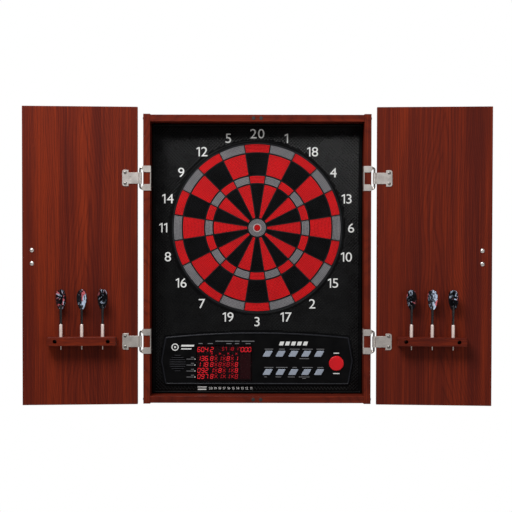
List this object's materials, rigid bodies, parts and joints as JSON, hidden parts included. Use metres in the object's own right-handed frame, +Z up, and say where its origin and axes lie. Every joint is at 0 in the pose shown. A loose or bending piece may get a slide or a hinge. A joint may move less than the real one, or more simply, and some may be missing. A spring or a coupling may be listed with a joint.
{
  "type": "electronic dartboard",
  "caption": "Wall-hung electronic dartboard in a cherry-wood cabinet with two hinged doors, dart holders with soft-tip darts, a segmented target and a scoring console.",
  "frame": {"origin": "centre of the cabinet's back face, where it hangs on the wall", "axes": "+X to the right for a viewer who faces the board, +Y into the wall, +Z up; the viewer stands at -Y"},
  "size_m": [1.0828, 0.1375, 0.6892],
  "materials": {
    "cherry": "cherry wood-grain laminate over board, satin, with vertical streaked grain",
    "hardboard": "smooth brown hardboard, matt",
    "nickel": "bright nickel-plated steel",
    "screw_steel": "nickel-plated steel screws",
    "magnet": "dark ferrite magnets in their pockets",
    "black_plastic": "moulded black plastic with a fine woven-diamond texture",
    "web_grey": "moulded grey plastic web",
    "segment_black": "perforated black plastic segments",
    "segment_red": "perforated red plastic segments",
    "segment_grey": "perforated grey plastic segments",
    "key_grey": "silver-grey plastic keys",
    "button_red": "glossy red plastic button",
    "lens_red": "dark red tinted acrylic",
    "circuit": "green circuit board with black components",
    "rubber_black": "black silicone rubber mat",
    "dart_metal": "smooth silver-white barrel, black shaft and marbled black flight"
  },
  "bodies": {
    "cabinet": {"side_left": "cherry", "side_right": "cherry", "top_rail": "cherry", "bottom_rail": "cherry", "back_panel": "hardboard", "hinge_brackets": "nickel", "hinge_pins": "nickel", "cabinet_screws": "screw_steel", "catch_magnets": "magnet", "front_housing": "black_plastic", "spider": "web_grey", "contact_mat": "rubber_black", "backing_plate": "black_plastic", "rear_cover": "black_plastic", "display_lens": "lens_red", "display_module": "circuit", "main_board": "circuit", "keypad_mat": "rubber_black", "speaker": "black_plastic", "dc_jack": "black_plastic", "board_screws": "screw_steel"},
    "left_door": {"door_left": "cherry", "hinge_leaves_left": "nickel", "door_screws_left": "screw_steel", "handle_left": "nickel", "handle_screws_left": "screw_steel", "dart_holder_left": "cherry"},
    "right_door": {"door_right": "cherry", "hinge_leaves_right": "nickel", "door_screws_right": "screw_steel", "handle_right": "nickel", "handle_screws_right": "screw_steel", "dart_holder_right": "cherry"},
    "dart_left_1": {"dart_left_1": "dart_metal"},
    "dart_left_2": {"dart_left_2": "dart_metal"},
    "dart_left_3": {"dart_left_3": "dart_metal"},
    "dart_right_1": {"dart_right_1": "dart_metal"},
    "dart_right_2": {"dart_right_2": "dart_metal"},
    "dart_right_3": {"dart_right_3": "dart_metal"},
    "key_01": {"key_01": "key_grey"},
    "key_02": {"key_02": "key_grey"},
    "key_03": {"key_03": "key_grey"},
    "key_04": {"key_04": "key_grey"},
    "key_05": {"key_05": "key_grey"},
    "key_06": {"key_06": "key_grey"},
    "key_07": {"key_07": "key_grey"},
    "key_08": {"key_08": "key_grey"},
    "key_09": {"key_09": "key_grey"},
    "key_10": {"key_10": "key_grey"},
    "start_button": {"start_button": "button_red"},
    "double_ring": {"double_segments_red": "segment_red", "double_segments_grey": "segment_grey"},
    "outer_single_ring": {"outer_single_segments_black": "segment_black", "outer_single_segments_red": "segment_red"},
    "triple_ring": {"triple_segments_red": "segment_red", "triple_segments_grey": "segment_grey"},
    "inner_single_ring": {"inner_single_segments_black": "segment_black", "inner_single_segments_red": "segment_red"},
    "outer_bull": {"outer_bull": "segment_grey"},
    "inner_bull": {"inner_bull": "segment_red"}
  },
  "joints": [
    {"name": "left_door_hinge", "type": "hinge", "parent": "cabinet", "child": "left_door", "pos_m": [-0.271, -0.094, 0], "axis": [0, 0, 1], "range_deg": [-4, 176]},
    {"name": "right_door_hinge", "type": "hinge", "parent": "cabinet", "child": "right_door", "pos_m": [0.271, -0.094, 0], "axis": [0, 0, -1], "range_deg": [-4, 176]},
    {"name": "dart_left_1_lift", "type": "slide", "parent": "left_door", "child": "dart_left_1", "axis": [0, 0, 1], "range_m": [0, 0.06]},
    {"name": "dart_left_2_lift", "type": "slide", "parent": "left_door", "child": "dart_left_2", "axis": [0, 0, 1], "range_m": [0, 0.06]},
    {"name": "dart_left_3_lift", "type": "slide", "parent": "left_door", "child": "dart_left_3", "axis": [0, 0, 1], "range_m": [0, 0.06]},
    {"name": "dart_right_1_lift", "type": "slide", "parent": "right_door", "child": "dart_right_1", "axis": [0, 0, 1], "range_m": [0, 0.06]},
    {"name": "dart_right_2_lift", "type": "slide", "parent": "right_door", "child": "dart_right_2", "axis": [0, 0, 1], "range_m": [0, 0.06]},
    {"name": "dart_right_3_lift", "type": "slide", "parent": "right_door", "child": "dart_right_3", "axis": [0, 0, 1], "range_m": [0, 0.06]},
    {"name": "key_01_press", "type": "slide", "parent": "cabinet", "child": "key_01", "axis": [0, 1, 0], "range_m": [0, 0.0015], "stiffness_N_per_m": 600},
    {"name": "key_02_press", "type": "slide", "parent": "cabinet", "child": "key_02", "axis": [0, 1, 0], "range_m": [0, 0.0015], "stiffness_N_per_m": 600},
    {"name": "key_03_press", "type": "slide", "parent": "cabinet", "child": "key_03", "axis": [0, 1, 0], "range_m": [0, 0.0015], "stiffness_N_per_m": 600},
    {"name": "key_04_press", "type": "slide", "parent": "cabinet", "child": "key_04", "axis": [0, 1, 0], "range_m": [0, 0.0015], "stiffness_N_per_m": 600},
    {"name": "key_05_press", "type": "slide", "parent": "cabinet", "child": "key_05", "axis": [0, 1, 0], "range_m": [0, 0.0015], "stiffness_N_per_m": 600},
    {"name": "key_06_press", "type": "slide", "parent": "cabinet", "child": "key_06", "axis": [0, 1, 0], "range_m": [0, 0.0015], "stiffness_N_per_m": 600},
    {"name": "key_07_press", "type": "slide", "parent": "cabinet", "child": "key_07", "axis": [0, 1, 0], "range_m": [0, 0.0015], "stiffness_N_per_m": 600},
    {"name": "key_08_press", "type": "slide", "parent": "cabinet", "child": "key_08", "axis": [0, 1, 0], "range_m": [0, 0.0015], "stiffness_N_per_m": 600},
    {"name": "key_09_press", "type": "slide", "parent": "cabinet", "child": "key_09", "axis": [0, 1, 0], "range_m": [0, 0.0015], "stiffness_N_per_m": 600},
    {"name": "key_10_press", "type": "slide", "parent": "cabinet", "child": "key_10", "axis": [0, 1, 0], "range_m": [0, 0.0015], "stiffness_N_per_m": 600},
    {"name": "start_button_press", "type": "slide", "parent": "cabinet", "child": "start_button", "axis": [0, 1, 0], "range_m": [0, 0.0015], "stiffness_N_per_m": 600},
    {"name": "double_ring_press", "type": "slide", "parent": "cabinet", "child": "double_ring", "axis": [0, 1, 0], "range_m": [0, 0.0012], "stiffness_N_per_m": 2000},
    {"name": "outer_single_ring_press", "type": "slide", "parent": "cabinet", "child": "outer_single_ring", "axis": [0, 1, 0], "range_m": [0, 0.0012], "stiffness_N_per_m": 2000},
    {"name": "triple_ring_press", "type": "slide", "parent": "cabinet", "child": "triple_ring", "axis": [0, 1, 0], "range_m": [0, 0.0012], "stiffness_N_per_m": 2000},
    {"name": "inner_single_ring_press", "type": "slide", "parent": "cabinet", "child": "inner_single_ring", "axis": [0, 1, 0], "range_m": [0, 0.0012], "stiffness_N_per_m": 2000},
    {"name": "outer_bull_press", "type": "slide", "parent": "cabinet", "child": "outer_bull", "axis": [0, 1, 0], "range_m": [0, 0.0012], "stiffness_N_per_m": 2000},
    {"name": "inner_bull_press", "type": "slide", "parent": "cabinet", "child": "inner_bull", "axis": [0, 1, 0], "range_m": [0, 0.0012], "stiffness_N_per_m": 2000}
  ]
}
